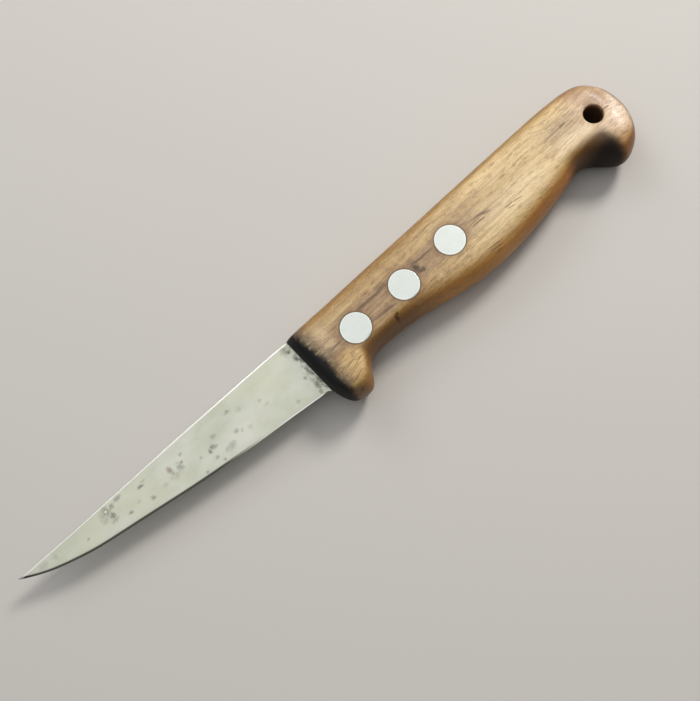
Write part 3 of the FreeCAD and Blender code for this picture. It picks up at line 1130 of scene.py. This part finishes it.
def soften_rims(node):
    """Rounds a rivet half's sharp edges a little."""
    weld = node.modifiers.new("weld", "WELD")
    weld.merge_threshold = WELD
    rim = node.modifiers.new("rim", "BEVEL")
    rim.width = RIM_WEAR
    rim.segments = RIM_SEGMENTS
    rim.limit_method = "ANGLE"
    rim.angle_limit = RIM_ANGLE


def add_pieces():
    handle = wood_handle()
    dress(handle, wood_material())
    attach(handle, BODY)
    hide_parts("handle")

    blade = steel_blade()
    dress(blade, steel_material())
    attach(blade, BODY)
    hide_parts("blade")

    metal = rivet_material()
    for name in RIVET_NODES:
        node = frame["nodes"][name]
        dress(node, metal)
        soften_rims(node)


# ---------------------------------------------------------------- floor, lights and camera

FLOOR_HALF = 0.9
FLOOR_CLEAR = 0.02 * MM                # keeps the flush faces below out of the floor's plane
FLOOR_COLOUR = (0.62, 0.60, 0.57, 1)
FLOOR_ROUGHNESS = 0.8
CAMERA_DISTANCE = 0.2553
CAMERA_TILT = math.radians(14.31)      # from straight down
CAMERA_SIDE = math.radians(-26.2)      # which way it leans, round from the belly side
CAMERA_ROLL = math.radians(17.64)
SENSOR_WIDTH = 36.0
FOCAL_LENGTH = SENSOR_WIDTH * 8 / 7
AIM = Vector((DATUM.x - 5.32 * MM, DATUM.y - 2.04 * MM, MID_Z))
# Lights: name, direction from the knife, distance, diameter, radiance, colour. The key stands
# beyond the butt, and the one behind is low and lights the spine.
LIGHTS = (
    ("key", (0.73, 0.19, 0.66), 0.9, 0.26, 28.0, (1.0, 0.96, 0.90)),
    ("overhead", (-0.06, 0.24, 0.97), 0.8, 1.3, 0.68, (1.0, 0.99, 0.97)),
    ("behind", (0.05, 0.78, 0.62), 0.9, 0.45, 2.8, (0.97, 0.98, 1.0)),
)
SURROUND_COLOUR = (0.98, 0.98, 1.0, 1)
SURROUND_STRENGTH = 0.20


def camera():
    data = bpy.data.cameras.new("camera")
    data.sensor_width = SENSOR_WIDTH
    data.lens = FOCAL_LENGTH
    data.clip_start = 0.01
    obj = link("camera", data)
    flat = math.sin(CAMERA_TILT)
    back = Vector((
        flat * math.sin(CAMERA_SIDE),
        -flat * math.cos(CAMERA_SIDE),
        math.cos(CAMERA_TILT),
    ))
    obj.location = AIM + back * CAMERA_DISTANCE
    obj.rotation_mode = "QUATERNION"
    upright = (-back).to_track_quat("-Z", "Y")
    obj.rotation_quaternion = upright @ Quaternion((0, 0, 1), -CAMERA_ROLL)
    bpy.context.scene.camera = obj


def floor():
    mesh = bpy.data.meshes.new("floor")
    h = FLOOR_HALF
    z = -FLOOR_CLEAR
    mesh.from_pydata([(-h, -h, z), (h, -h, z), (h, h, z), (-h, h, z)], [], [(0, 1, 2, 3)])
    obj = link("floor", mesh)
    material = bpy.data.materials.new("floor_paint")
    material.use_nodes = True
    surface = material.node_tree.nodes["Principled BSDF"]
    surface.inputs["Base Color"].default_value = FLOOR_COLOUR
    surface.inputs["Roughness"].default_value = FLOOR_ROUGHNESS
    dress(obj, material)


def area_light(name, direction, distance, size, radiance, colour):
    """A round soft light that faces the knife."""
    light = bpy.data.lights.new(name, "AREA")
    light.shape = "DISK"
    light.size = size
    light.energy = radiance * math.pi * math.pi * (size / 2) ** 2
    light.color = colour
    obj = link(name, light)
    direction = Vector(direction).normalized()
    obj.location = AIM + direction * distance
    obj.rotation_mode = "QUATERNION"
    obj.rotation_quaternion = direction.to_track_quat("Z", "Y")


def lights():
    for settings in LIGHTS:
        area_light(*settings)
    world = bpy.data.worlds.new("surround")
    world.use_nodes = True
    surround = world.node_tree.nodes["Background"]
    surround.inputs["Color"].default_value = SURROUND_COLOUR
    surround.inputs["Strength"].default_value = SURROUND_STRENGTH
    bpy.context.scene.world = world


bpy.context.scene.view_settings.view_transform = "Standard"
add_pieces()
floor()
camera()
lights()


def plain(box):
    return [[float(v) for v in corner] for corner in box]
